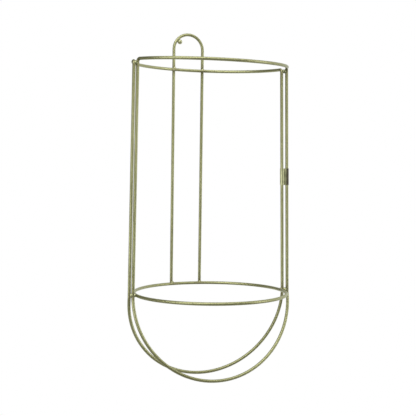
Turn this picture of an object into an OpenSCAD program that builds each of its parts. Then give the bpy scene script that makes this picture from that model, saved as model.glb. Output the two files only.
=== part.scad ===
// Wall planter frame of bent and welded round wire.
// Two hoops, one facing the room and one facing the wall, hold a pot ring between their posts.
// A hairpin hanger at the back carries the frame on a wall hook.
// Lengths are in millimetres. +X is to the right, +Y is towards the wall and +Z is up.
// The origin is the point inside the hanger's round top that rests on the hook.

/* [Wire] */
// Diameter of every rod
wire_d = 5; // [3:0.5:7]
// Gap between two rods that a weld bead closes
weld_gap = 0.2; // [0.1:0.05:0.5]

/* [Pot ring] */
// Radius of the ring that the pot sits in, at the wire's centre
ring_r = 120; // [80:1:180]

/* [Hoops] */
// Height of the back hoop's top corners above the pot ring
post_h = 357; // [200:1:500]
// How much higher the front hoop's top corners stand
front_rise = 3.5; // [0:0.5:12]
// How far each post leans inwards between the pot ring and the top
top_taper = 5.5; // [0:0.5:20]
// Clear gap between the two hoops' posts on the left
left_gap = 0.8; // [0.4:0.1:6]
// Clear gap between the two hoops' posts on the right
right_gap = 3.8; // [1.6:0.1:6]
// Bend radius of the top corners
corner_r = 5; // [4:0.5:12]
// Straight between each top corner and the arc of the top bar
shoulder_l = 1; // [0.75:0.25:10]
// Angle between each end of the front bar and the line through its two corners
front_bar_angle = 70; // [60:1:86]
// Angle between each end of the back bar and the line through its two corners
back_bar_angle = 83; // [70:1:86]
// Slope of the front bar, down towards the room
front_bar_slope = 5; // [0:0.5:8]
// Slope of the back bar, up towards the wall
back_bar_slope = 3.5; // [0:0.5:8]
// Drop below the pot ring at which the posts turn into the lower loops
loop_drop = 4; // [4:0.5:20]
// Angle between each lower loop and the vertical
loop_angle = 12; // [4:0.5:30]
// Bend radius between the posts and the lower loops
loop_bend_r = 20; // [8:1:40]
// Length of the straight between each lower bend and the half circle below it
loop_leg = 2; // [1:0.5:60]

/* [Joint sleeve] */
// Height of the sleeve's middle above the pot ring
sleeve_z = 184; // [60:1:280]
// Length of the sleeve
sleeve_l = 27; // [12:1:50]
// Thickness of the sleeve's wall
sleeve_wall = 0.6; // [0.4:0.1:1.5]
// Play between the sleeve and each post
sleeve_play = 0.05; // [0.02:0.01:0.2]
// Gap between the two ends of each hoop's wire, inside the sleeve
butt_gap = 1; // [0.5:0.1:4]
// Depth of the pinch along the middle of the sleeve's broad sides
sleeve_pinch = 0.5; // [0.3:0.1:0.8]

/* [Hanger] */
// Distance between the hanger's legs, centre to centre
hanger_w = 51; // [30:1:80]
// Height of the hanger's crown above the back hoop's top corners
hanger_rise = 67.5; // [50:1:120]
// Diameter of the stop bead inside the crown
stop_d = 8; // [5:0.5:10]
// Place of the stop bead round the crown, from its right-hand end
stop_angle = 140; // [100:1:160]

/* [Welds] */
// Diameter of the beads between the posts
post_bead_d = 6.5; // [4.5:0.25:10]
// Diameter of the beads on the pot ring
ring_bead_d = 6; // [4:0.25:10]
// Diameter of the beads on the hanger's legs
hanger_bead_d = 7; // [5:0.25:10]

/* [Hidden] */
$fn = 48;
WIRE_FN = 72;
ARC_FN = 300;
ROOM = -1;                                      // hoop that faces the room
WALL = -ROOM;                                   // hoop that faces the wall

BRASS = [0.80, 0.75, 0.55];
BEAD = [0.66, 0.62, 0.42];
SLEEVE = [0.55, 0.52, 0.34];

touch = wire_d + weld_gap;                      // centre distance of two rods that are welded together
front_step = (wire_d + right_gap) / 2;          // front hoop's step to the right, off the pot ring's middle
back_step = (wire_d + left_gap) / 2;            // back hoop's step to the left
lean = top_taper / post_h;                      // inward run of a post for each unit of height
loop_turn = acos(cos(atan(lean)) * cos(loop_angle));    // angle of the bend between a post and a lower loop
hanger_x = -back_step / 2;                      // between the ring's middle and the back hoop's middle
leg_r = hanger_w / 2;
leg_offset = leg_r - back_step / 2;             // nearer leg, from the ring's or the back hoop's middle
leg_reach = bar_r(WALL) + touch / cos(back_bar_slope);  // leg's distance from the middle of the bar's arc
leg_out = bar_middle(WALL) + sqrt(pow(leg_reach, 2) - pow(leg_offset, 2));
leg_top = leg_out * outward(WALL) + [0, 0, post_h];
leg_foot_y = sqrt(pow(ring_r + touch, 2) - pow(leg_offset, 2));
leg_lean = atan((leg_top[1] - leg_foot_y) / leg_top[2]);
leg_up = [0, sin(leg_lean), cos(leg_lean)];     // direction of the hanger's legs
crown = [hanger_x, leg_foot_y, 0] + leg_up * (post_h + hanger_rise) / cos(leg_lean);
hook_point = crown - leg_up * wire_d / 2;
TINY = 0.001;                                   // straights shorter than this are left out
THINNING = 0.04;                                // wire is this much thinner where it is bent
GRIP = 0.3;                                     // run of each bend's ends inside the straights beside it
seat_d = wire_d + 0.04;                         // weld beads are cut back to this round each rod

// ---- bent wire ----

function unit(v) = v / norm(v);
function heading(points, i) = unit(points[i + 1] - points[i]);
function bend_angle(points, i) = acos(max(-1, min(1, heading(points, i - 1) * heading(points, i))));
// Direction from the wire to the centre of bend i, where the bend starts and where it ends
function to_centre(points, i) =
    let (a = heading(points, i - 1), b = heading(points, i)) unit(b - (a * b) * a);
function from_centre(points, i) =
    let (a = heading(points, i - 1), b = heading(points, i)) unit((a * b) * b - a);
// Length that bend i takes off each straight beside it
function setback(points, radii, i) =
    i == 0 || i == len(points) - 1 ? 0 : radii[i] * tan(bend_angle(points, i) / 2);
function feed(points, radii, i) =
    norm(points[i + 1] - points[i]) - setback(points, radii, i) - setback(points, radii, i + 1);
// Turn of the wire about itself between bend i and the next one
function turn(points, i) =
    let (a = from_centre(points, i), b = to_centre(points, i + 1))
    atan2(cross(a, b) * heading(points, i), a * b);

// One bend, which starts at the origin along +Z and curves towards +X; both ends run on into the straights
module bend(radius, angle, d) {
    grip = GRIP / radius * 180 / PI;
    translate([radius, 0, 0])
        rotate([90, 0, 180])
            rotate([0, 0, -grip])
                rotate_extrude(angle = angle + 2 * grip)
                    translate([radius, 0])
                        circle(d = d - THINNING);
}

// Feeds and bends the wire from straight i on, as a wire bender does
module wire_from(points, radii, i, d) {
    length = feed(points, radii, i);
    cylinder(d = d, h = length);
    if (i < len(points) - 2) {
        // Two corners with no straight between them are one bend
        joined = feed(points, radii, i + 1) < TINY;
        next = joined ? i + 2 : i + 1;
        angle = bend_angle(points, i + 1) + (joined ? bend_angle(points, next) : 0);
        radius = radii[next];
        translate([0, 0, length]) {
            bend(radius, angle, d);
            translate([radius, 0, 0])
                rotate([0, angle, 0])
                    translate([-radius, 0, 0])
                        rotate([0, 0, next < len(points) - 2 ? turn(points, next) : 0])
                            wire_from(points, radii, next, d);
        }
    }
}

// Wire along a chain of points, each corner rounded to its radius; the end points have no radius
module bent_wire(points, radii, d = wire_d) {
    z = heading(points, 0);
    x = to_centre(points, 1);
    y = cross(z, x);
    p = points[0];
    multmatrix([[x[0], y[0], z[0], p[0]], [x[1], y[1], z[1], p[1]], [x[2], y[2], z[2], p[2]], [0, 0, 0, 1]])
        wire_from(points, radii, 0, d);
}

// Seat of a straight rod between two points, for cutting beads to shape
module rod_seat(a, b) {
    v = b - a;
    translate(a)
        rotate([0, acos(v[2] / norm(v)), atan2(v[1], v[0])])
            cylinder(d = seat_d, h = norm(v), $fn = WIRE_FN);
}

// Places the frame, which is drawn about the pot ring's centre, so that the hook point is the origin
module hung() {
    translate(-hook_point) children();
}

// ---- hoops ----

// The inner post of each hoop is welded to the pot ring.
// It is the front hoop's on the left and the back hoop's on the right.
function step(facing) = facing == ROOM ? front_step : -back_step;
// Height of a hoop's top corners above the pot ring
function top_z(facing) = facing == ROOM ? post_h + front_rise : post_h;
// Half width of a hoop at the pot ring, at the top and at its lower bends
function ring_half(facing) = ring_r + touch + abs(step(facing));
function top_half(facing) = ring_half(facing) - lean * top_z(facing);
function loop_half(facing) = ring_half(facing) + lean * loop_drop;

// Point on a post, side 1 on the right and -1 on the left, at a height above the pot ring
function post_point(side, z, facing) = [step(facing) + side * (ring_half(facing) - lean * z), 0, z];
function top_corner(side, facing) = post_point(side, top_z(facing), facing);
function loop_depth(facing) = loop_bend_r * tan(loop_turn / 2) + loop_leg + loop_half(facing);
function loop_corner(side, facing) =
    post_point(side, -loop_drop, facing)
    + loop_depth(facing) * [0, facing * sin(loop_angle), -cos(loop_angle)];

// Top bar: the angle at its ends, its slope, and the run from a corner to the arc
function bar_angle(facing) = facing == ROOM ? front_bar_angle : back_bar_angle;
function bar_slope(facing) = facing == ROOM ? front_bar_slope : back_bar_slope;
function bar_lead(facing) = corner_r * tan(45 + bar_slope(facing) / 2) + shoulder_l;
// Away from the posts in the plane of the top bar
function outward(facing) = facing * [0, cos(bar_slope(facing)), sin(bar_slope(facing))];
function bar_heading(side, facing) =
    sin(bar_angle(facing)) * outward(facing) - [side * cos(bar_angle(facing)), 0, 0];
// Distance outwards from the posts to the point where the bar's two end directions meet
function bar_depth(facing) = top_half(facing) * tan(bar_angle(facing));
function bar_corner(facing) = [step(facing), 0, top_z(facing)] + bar_depth(facing) * outward(facing);
// Radius of a top bar's arc, and how far outwards of the posts its centre lies
function bar_r(facing) =
    top_half(facing) / sin(bar_angle(facing)) - bar_lead(facing) / tan(bar_angle(facing));
function bar_middle(facing) = bar_depth(facing) - bar_r(facing) / cos(bar_angle(facing));

module hoop(facing) {
    loop_r = loop_half(facing);
    points = [
        post_point(1, sleeve_z + butt_gap / 2, facing),
        top_corner(1, facing),
        bar_corner(facing),
        top_corner(-1, facing),
        post_point(-1, -loop_drop, facing),
        loop_corner(-1, facing),
        loop_corner(1, facing),
        post_point(1, -loop_drop, facing),
        post_point(1, sleeve_z - butt_gap / 2, facing)
    ];
    radii = [0, corner_r, bar_r(facing), corner_r, loop_bend_r, loop_r, loop_r, loop_bend_r, 0];
    color(BRASS) hung() bent_wire(points, radii);
}

module front_hoop() {
    hoop(ROOM);
}

module back_hoop() {
    hoop(WALL);
}

// ---- pot ring ----

// Closed ring of wire about the Z axis
module round_wire(radius, d = wire_d) {
    rotate_extrude($fn = ARC_FN) translate([radius, 0]) circle(d = d, $fn = WIRE_FN);
}

module pot_ring() {
    color(BRASS) hung() round_wire(ring_r);
}

// ---- hanger ----

// Point on a hanger leg at a height above the pot ring
function leg_point(side, z) = [hanger_x + side * leg_r, leg_foot_y, 0] + leg_up * z / cos(leg_lean);

module hanger() {
    top = post_h + hanger_rise;
    points = [leg_point(-1, -wire_d / 2), leg_point(-1, top), leg_point(1, top), leg_point(1, -wire_d / 2)];
    color(BRASS) hung() bent_wire(points, [0, leg_r, leg_r, 0]);
}

// Puts children, drawn in the XZ plane about the crown's centre, into the hanger's leaning plane
module in_crown() {
    translate(crown - leg_up * leg_r)
        rotate([-leg_lean, 0, 0])
            children();
}

module hanger_stop() {
    reach = leg_r - wire_d / 2 - stop_d * 0.4;
    color(BEAD) hung() in_crown()
        difference() {
            translate([reach * cos(stop_angle), 0, reach * sin(stop_angle)]) sphere(d = stop_d);
            rotate([90, 0, 0]) round_wire(leg_r, seat_d);
        }
}

// ---- joint sleeve ----

// Halfway between the two hoops' posts on one side, at a height above the pot ring
function between_posts(side, z) = (post_point(side, z, ROOM) + post_point(side, z, WALL)) / 2;

// Oval tube round both right-hand posts, pinched between them
module joint_sleeve() {
    outer_d = wire_d + 2 * (sleeve_play + sleeve_wall);
    color(SLEEVE) hung()
        translate(between_posts(1, sleeve_z))
            rotate([0, -atan(lean), 0])
                translate([0, 0, -sleeve_l / 2])
                    difference() {
                        union() {
                            for (side = [-1, 1])
                                translate([side * front_step, 0, 0]) cylinder(d = outer_d, h = sleeve_l);
                            translate([-front_step, -outer_d / 2 + sleeve_pinch, 0])
                                cube([2 * front_step, outer_d - 2 * sleeve_pinch, sleeve_l]);
                        }
                        for (side = [-1, 1])
                            translate([side * front_step, 0, -1])
                                cylinder(d = wire_d + 2 * sleeve_play, h = sleeve_l + 2);
                    }
}

// ---- welds ----

// Both posts on one side, with their top corners, for cutting beads to shape
module post_pair(side) {
    for (facing = [ROOM, WALL]) {
        corner = top_corner(side, facing);
        past_corner = corner + (bar_lead(facing) + wire_d) * bar_heading(side, facing);
        bent_wire([post_point(side, -loop_drop, facing), corner, past_corner], [0, corner_r, 0], seat_d);
    }
}

// Bead between the two posts on one side at a height above the pot ring
module post_bead(side, z) {
    difference() {
        translate(between_posts(side, z)) rotate([0, 90, 0]) sphere(d = post_bead_d);
        post_pair(side);
    }
}

module top_corner_welds() {
    color(BEAD) hung()
        for (side = [-1, 1])
            post_bead(side, post_h - corner_r / 2);
}

module ring_level_welds() {
    color(BEAD) hung()
        for (side = [-1, 1])
            post_bead(side, 0);
}

// Beads between the pot ring and the inner post on each side
module ring_post_welds() {
    color(BEAD) hung()
        for (side = [-1, 1]) {
            inner = side < 0 ? ROOM : WALL;
            difference() {
                translate([side * (ring_r + touch / 2), 0, 0])
                    rotate([0, 90, 0])
                        sphere(d = ring_bead_d, $fn = WIRE_FN);
                round_wire(ring_r, seat_d);
                rod_seat(post_point(side, -loop_drop, inner), post_point(side, post_h / 2, inner));
            }
        }
}

// Bead between a hanger leg, at a height above the pot ring, and a round wire that passes it.
// The wire's middle, radius and slope are given, and the bead sits this far above the wire.
module leg_bead(side, z, middle, radius, slope, rise) {
    across = unit(leg_point(side, z) - middle);
    difference() {
        translate(middle + across * (radius + touch / 2) + [0, 0, rise])
            rotate([0, 90, atan2(across[1], across[0])])
                sphere(d = hanger_bead_d, $fn = WIRE_FN);
        translate(middle) rotate([slope, 0, 0]) round_wire(radius, seat_d);
        rod_seat(leg_point(side, z - post_h / 4), leg_point(side, z + hanger_rise / 3));
    }
}

module hanger_bar_welds() {
    middle = bar_middle(WALL) * outward(WALL) + [step(WALL), 0, post_h];
    color(BEAD) hung()
        for (side = [-1, 1])
            leg_bead(side, leg_top[2], middle, bar_r(WALL), back_bar_slope, wire_d / 4);
}

module hanger_foot_welds() {
    color(BEAD) hung()
        for (side = [-1, 1])
            leg_bead(side, 0, [0, 0, 0], ring_r, 0, wire_d / 5);
}

front_hoop();
back_hoop();
pot_ring();
hanger();
joint_sleeve();
hanger_stop();
top_corner_welds();
ring_level_welds();
ring_post_welds();
hanger_bar_welds();
hanger_foot_welds();
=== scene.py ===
import math

import bpy
from mathutils import Matrix, Vector

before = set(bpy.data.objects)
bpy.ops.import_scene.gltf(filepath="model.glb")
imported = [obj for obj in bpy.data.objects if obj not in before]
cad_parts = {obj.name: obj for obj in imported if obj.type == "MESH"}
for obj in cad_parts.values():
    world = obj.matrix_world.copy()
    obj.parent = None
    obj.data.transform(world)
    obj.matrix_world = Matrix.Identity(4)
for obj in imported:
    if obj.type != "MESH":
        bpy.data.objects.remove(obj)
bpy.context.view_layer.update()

# ---- camera ----

# Placed by fitting the frame's rods to the photograph. Metres and radians, in the row frame
PHOTO_PX = 416
FOCAL_PX = 780.4
SENSOR_MM = 36
EYE = Vector((-0.41475, -1.27231, -0.24916))
YAW = 0.3418
PITCH = -0.0321
ROLL = 0.0085


def make_camera():
    forward = Vector((math.sin(YAW) * math.cos(PITCH), math.cos(YAW) * math.cos(PITCH), math.sin(PITCH)))
    right = Vector((math.cos(YAW), -math.sin(YAW), 0))
    up = right.cross(forward)
    x = math.cos(ROLL) * right + math.sin(ROLL) * up
    y = math.cos(ROLL) * up - math.sin(ROLL) * right
    data = bpy.data.cameras.new("camera")
    data.sensor_width = SENSOR_MM
    data.lens = SENSOR_MM * FOCAL_PX / PHOTO_PX
    camera = bpy.data.objects.new("camera", data)
    camera.matrix_world = Matrix.Translation(EYE) @ Matrix((x, y, -forward)).transposed().to_4x4()
    bpy.context.scene.collection.objects.link(camera)
    bpy.context.scene.camera = camera


# ---- shader trees ----

class Nodes:
    """Short names for building one shader tree."""

    def __init__(self, tree):
        self.tree = tree
        tree.nodes.clear()

    def add(self, kind, settings=None, **inputs):
        node = self.tree.nodes.new(kind)
        for name, value in (settings or {}).items():
            setattr(node, name, value)
        for name, value in inputs.items():
            self.put(self.socket(node, name), value)
        return node

    def socket(self, node, name):
        """An input by its name with _ for spaces, or by its number, as in i0."""
        if name[0] == "i" and name[1:].isdigit():
            return node.inputs[int(name[1:])]
        return node.inputs[name.replace("_", " ")]

    def put(self, socket, value):
        if isinstance(value, bpy.types.NodeSocket):
            self.tree.links.new(value, socket)
        else:
            socket.default_value = value

    def math(self, operation, a, b):
        return self.add("ShaderNodeMath", {"operation": operation}, i0=a, i1=b).outputs[0]

    def vector_math(self, operation, a, b):
        node = self.add("ShaderNodeVectorMath", {"operation": operation}, i0=a, i1=tuple(b))
        return node.outputs["Value"]

    def ramp(self, value, stops):
        """Colours by value, from stops of a position and an RGB colour."""
        node = self.add("ShaderNodeValToRGB", i0=value)
        elements = node.color_ramp.elements
        while len(elements) < len(stops):
            elements.new(0.5)
        for element, (position, colour) in zip(elements, stops):
            element.position = position
            element.color = (*colour, 1)
        return node.outputs[0]

    def grey_ramp(self, value, stops):
        return self.ramp(value, [(position, (level, level, level)) for position, level in stops])

    def noise(self, coordinates, scale, detail=2.0, roughness=0.5):
        node = self.add(
            "ShaderNodeTexNoise", Vector=coordinates, Scale=scale, Detail=detail, Roughness=roughness
        )
        return node.outputs["Fac"]

    def fade(self, value, start, end, from_share=0.0, to_share=1.0):
        """One share up to the start, the other one past the end, and an even change between them."""
        node = self.add(
            "ShaderNodeMapRange", Value=value,
            From_Min=start, From_Max=end, To_Min=from_share, To_Max=to_share
        )
        return node.outputs[0]

    def mixed(self, share, a, b):
        return self.add("ShaderNodeMix", {"data_type": "RGBA"}, i0=share, i6=a, i7=b).outputs[2]


def new_material(name):
    material = bpy.data.materials.new(name)
    material.use_nodes = True
    return material, Nodes(material.node_tree)


# ---- metals ----

# Dark, middle and light tone of each metal, as the tarnish drifts
WIRE_TONES = ((0.285, 0.285, 0.125), (0.335, 0.34, 0.155), (0.395, 0.40, 0.195))
WELD_TONES = ((0.24, 0.25, 0.12), (0.36, 0.37, 0.19), (0.50, 0.50, 0.29))
TONE_STOPS = (0.36, 0.5, 0.64)
# Dark and light tone of the sleeve where it is bare, and of the painted shade, a near-black brown, on its
# right side
SLEEVE_WORN = ((0.40, 0.41, 0.21), (0.56, 0.57, 0.31))
SLEEVE_PAINTED_SHADE = ((0.05, 0.042, 0.022), (0.12, 0.10, 0.055))
SLEEVE_STOPS = (0.35, 0.65)
# The sleeve is bare up to this share of its width, and the painted shade sets in over the step that follows
SLEEVE_SHADE_FROM = 0.66
SLEEVE_SHADE_STEP = 0.06
# Roughness of the sleeve by its grain, as stops
SLEEVE_ROUGHNESS = ((0.3, 0.28), (0.7, 0.42))
# How much smoother and rougher than its own roughness a metal gets as its sheen comes and goes
SHEEN_DROP = 0.05
SHEEN_RISE = 0.07

# Noise cells to the metre
TARNISH = 7.0
SHEEN = 26.0
GRAIN = 90.0
SLEEVE_GRAIN = 160.0
STAIN_EDGE = 220.0
SLEEVE_EDGE = 300.0
FINE_GRAIN = 500.0

# Height of a bump at full strength, in metres, and the strengths. Pits also deepen the coarser grain
BUMP_HEIGHT = 0.0002
GRAIN_BUMP = 0.006
PIT_BUMP = 0.2
PIT_GAIN = 4
SLEEVE_BUMP = 0.15

# Heat marks: full brown up to about the core's distance from the middle of a weld, gone by the reach
HEAT_CORE = 0.003
HEAT_REACH = 0.014
HEAT_RAGGED = 0.003
HEAT_SHARE = 0.6
HEAT_BROWN = (0.16, 0.13, 0.06, 1)


def brass(n, colour, satin, normal):
    """Lacquered brass: a coloured metal with darker grazing edges under a thin clear coat."""
    shader = n.add(
        "ShaderNodeBsdfPrincipled", Base_Color=colour, Metallic=1.0, Roughness=satin, Normal=normal,
        Specular_Tint=(0.68, 0.71, 0.6, 1), Coat_Weight=0.7, Coat_Roughness=0.32, Coat_IOR=1.6
    )
    n.add("ShaderNodeOutputMaterial", Surface=shader.outputs[0])


def weld_points(nodes):
    """The middle of each weld bead: every weld node holds one on the left and one on the right."""
    points = []
    for name, o in nodes.items():
        if name.endswith("_welds"):
            places = [o.matrix_world @ v.co for v in o.data.vertices]
            for side in (-1, 1):
                bead = [place for place in places if place.x * side > 0]
                points.append(sum(bead, Vector()) / len(bead))
    return points


def heat_stain(n, points):
    """1 beside a weld, falling to 0 where the torch's heat no longer browned the wire."""
    place = n.add("ShaderNodeNewGeometry").outputs["Position"]
    nearest = HEAT_REACH
    for point in points:
        nearest = n.math("MINIMUM", n.vector_math("DISTANCE", place, point), nearest)
    ragged = n.math("ADD", nearest, n.math("MULTIPLY", n.noise(place, STAIN_EDGE), HEAT_RAGGED))
    return n.fade(ragged, HEAT_CORE, HEAT_REACH, 1.0, 0.0)


def metal(name, tones, rough, pits=0.0, welds=()):
    """Brass with slow tarnish, a fine grain, a sheen that comes and goes, and heat marks at the welds."""
    material, n = new_material(name)
    place = n.add("ShaderNodeTexCoord").outputs["Object"]
    drift = n.math("MULTIPLY", n.noise(place, TARNISH, 3.0), 0.9)
    mottle = n.math("MULTIPLY", n.noise(place, GRAIN, 3.0), 0.1)
    colour = n.ramp(n.math("ADD", drift, mottle), list(zip(TONE_STOPS, tones)))
    if welds:
        colour = n.mixed(n.math("MULTIPLY", heat_stain(n, welds), HEAT_SHARE), colour, HEAT_BROWN)
    satin = n.grey_ramp(n.noise(place, SHEEN, 3.0), ((0.3, rough - SHEEN_DROP), (0.7, rough + SHEEN_RISE)))
    coarse = n.math("MULTIPLY", n.noise(place, GRAIN), 1 + PIT_GAIN * pits)
    height = n.math("ADD", n.noise(place, FINE_GRAIN), coarse)
    strength = GRAIN_BUMP + PIT_BUMP * pits
    bump = n.add("ShaderNodeBump", Height=height, Strength=strength, Distance=BUMP_HEIGHT)
    brass(n, colour, satin, bump.outputs[0])
    return material


def sleeve_metal():
    """The sleeve: bare and grainy on the left, painted shade in near-black brown on the right, with a ragged
    edge between them.
    """
    material, n = new_material("sleeve_brass")
    coordinates = n.add("ShaderNodeTexCoord")
    place = coordinates.outputs["Object"]
    fine = n.noise(place, SLEEVE_GRAIN, 4.0, 0.6)
    worn = n.ramp(fine, list(zip(SLEEVE_STOPS, SLEEVE_WORN)))
    # Painted shade: past a share of its width, the sleeve's right side is coloured a near-black brown,
    # standing in for the shade on that side
    painted_shade = n.ramp(fine, list(zip(SLEEVE_STOPS, SLEEVE_PAINTED_SHADE)))
    across = n.add("ShaderNodeSeparateXYZ", Vector=coordinates.outputs["Generated"]).outputs["X"]
    edge = n.math("ADD", across, n.math("MULTIPLY", n.noise(place, SLEEVE_EDGE), SLEEVE_SHADE_STEP))
    shaded = n.fade(edge, SLEEVE_SHADE_FROM, SLEEVE_SHADE_FROM + SLEEVE_SHADE_STEP)
    satin = n.grey_ramp(fine, SLEEVE_ROUGHNESS)
    bump = n.add("ShaderNodeBump", Height=fine, Strength=SLEEVE_BUMP, Distance=BUMP_HEIGHT)
    brass(n, n.mixed(shaded, worn, painted_shade), satin, bump.outputs[0])
    return material


def make_materials(nodes):
    wire = metal("wire_brass", WIRE_TONES, rough=0.42, welds=weld_points(nodes))
    weld = metal("weld_brass", WELD_TONES, rough=0.34, pits=0.7)
    sleeve = sleeve_metal()
    for name, o in nodes.items():
        o.data.materials.clear()
        if name == "joint_sleeve":
            o.data.materials.append(sleeve)
        elif name.endswith("_welds") or name == "hanger_stop":
            o.data.materials.append(weld)
        else:
            o.data.materials.append(wire)


# ---- stage ----

FLOOR_Z = -1.6
FLOOR_SIZE = 14
FLOOR_GREY = 0.75
# Whiteness of the floor by distance, in shares of its reach: seen directly, it is counted from the point
# under the object, and mirrored in the metal, along the camera's heading
FLOOR_REACH = 5.0
SEEN_STOPS = ((0.0, 0.5), (0.24, 0.8), (0.5, 1.0))
MIRRORED_STOPS = ((0.08, 0.0), (0.24, 0.9), (0.55, 1.0))
BACK = Vector((math.sin(YAW), math.cos(YAW), 0))

# The metal mirrors a white cove round this heading, which is further to the right than the camera looks.
# Elsewhere it mirrors the studio's grey, which also lights it
COVE_HEADING = math.radians(60)
COVE = Vector((math.sin(COVE_HEADING), math.cos(COVE_HEADING), 0))
COVE_STOPS = ((0.0, 0.0), (0.9, 1.0))
STUDIO_GREY = 0.26
WHITE = (1, 1, 1, 1)


def background_rays(n):
    """Two shares, 0 or 1: the camera's own rays, and those that metal mirrors or glass lets through."""
    path = n.add("ShaderNodeLightPath")
    mirrored = n.math("MAXIMUM", path.outputs["Is Glossy Ray"], path.outputs["Is Transmission Ray"])
    return path.outputs["Is Camera Ray"], mirrored


def make_floor():
    bpy.ops.mesh.primitive_plane_add(size=FLOOR_SIZE, location=(0, 0, FLOOR_Z))
    floor = bpy.context.object
    floor.name = "floor"
    material, n = new_material("floor_white")
    camera, mirrored = background_rays(n)
    place = n.add("ShaderNodeNewGeometry").outputs["Position"]
    # Seen directly, the floor whitens all round the object, so that no horizon shows and a soft shadow stays
    away = n.vector_math("DISTANCE", place, (0, 0, FLOOR_Z))
    around = n.grey_ramp(n.math("DIVIDE", away, FLOOR_REACH), SEEN_STOPS)
    # Mirrored in the metal, it whitens only behind the object
    depth = n.vector_math("DOT_PRODUCT", place, BACK)
    behind = n.grey_ramp(n.math("DIVIDE", depth, FLOOR_REACH), MIRRORED_STOPS)
    seen = n.math("MAXIMUM", n.math("MULTIPLY", camera, around), n.math("MULTIPLY", mirrored, behind))
    matt = n.add("ShaderNodeBsdfDiffuse", Color=(FLOOR_GREY, FLOOR_GREY, FLOOR_GREY, 1))
    glow = n.add("ShaderNodeEmission", Color=WHITE, Strength=1.0)
    mix = n.add("ShaderNodeMixShader", i0=seen, i1=matt.outputs[0], i2=glow.outputs[0])
    n.add("ShaderNodeOutputMaterial", Surface=mix.outputs[0])
    floor.data.materials.append(material)


def make_world():
    world = bpy.data.worlds.new("studio")
    bpy.context.scene.world = world
    world.use_nodes = True
    n = Nodes(world.node_tree)
    direction = n.add("ShaderNodeTexCoord").outputs["Generated"]
    cove = n.grey_ramp(n.vector_math("DOT_PRODUCT", direction, COVE), COVE_STOPS)
    camera, mirrored = background_rays(n)
    seen = n.math("MAXIMUM", camera, n.math("MULTIPLY", mirrored, cove))
    studio = n.add("ShaderNodeBackground", Color=(STUDIO_GREY, STUDIO_GREY, STUDIO_GREY, 1), Strength=1.0)
    white = n.add("ShaderNodeBackground", Color=WHITE, Strength=1.0)
    mix = n.add("ShaderNodeMixShader", i0=seen, i1=studio.outputs[0], i2=white.outputs[0])
    n.add("ShaderNodeOutputWorld", Surface=mix.outputs[0])


# ---- lamps ----

# What the lamps face: about the middle of the object
LAMP_TARGET = Vector((0, 0, -0.27))


def softbox(name, azimuth, distance, height, width, tall, level):
    """Area lamp that faces the object. Its azimuth is 0 degrees on the room side (-Y) and grows towards +X,
    and its distance is measured on the level. A lamp of level 1 looks as bright as a white of 1."""
    a = math.radians(azimuth)
    place = Vector((math.sin(a) * distance, -math.cos(a) * distance, height))
    data = bpy.data.lights.new(name, "AREA")
    data.shape = "RECTANGLE"
    data.size = width
    data.size_y = tall
    data.energy = level * math.pi * width * tall
    lamp = bpy.data.objects.new(name, data)
    lamp.location = place
    lamp.rotation_euler = (place - LAMP_TARGET).to_track_quat("Z", "Y").to_euler()
    bpy.context.scene.collection.objects.link(lamp)


def make_lamps():
    softbox("low_left", azimuth=-62, distance=1.3, height=-0.38, width=1.0, tall=0.5, level=2.7)
    softbox("front", azimuth=-2, distance=2.4, height=0.6, width=0.6, tall=0.9, level=1.1)
    softbox("top", azimuth=-10, distance=0.9, height=1.4, width=2.2, tall=1.6, level=2.1)
    softbox("high_left", azimuth=-48, distance=1.3, height=0.8, width=1.4, tall=1.0, level=1.9)
    softbox("right", azimuth=54, distance=1.6, height=-0.1, width=0.5, tall=2.4, level=2.3)


bpy.context.scene.view_settings.view_transform = "Standard"
make_camera()
make_materials(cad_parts)
make_floor()
make_world()
make_lamps()
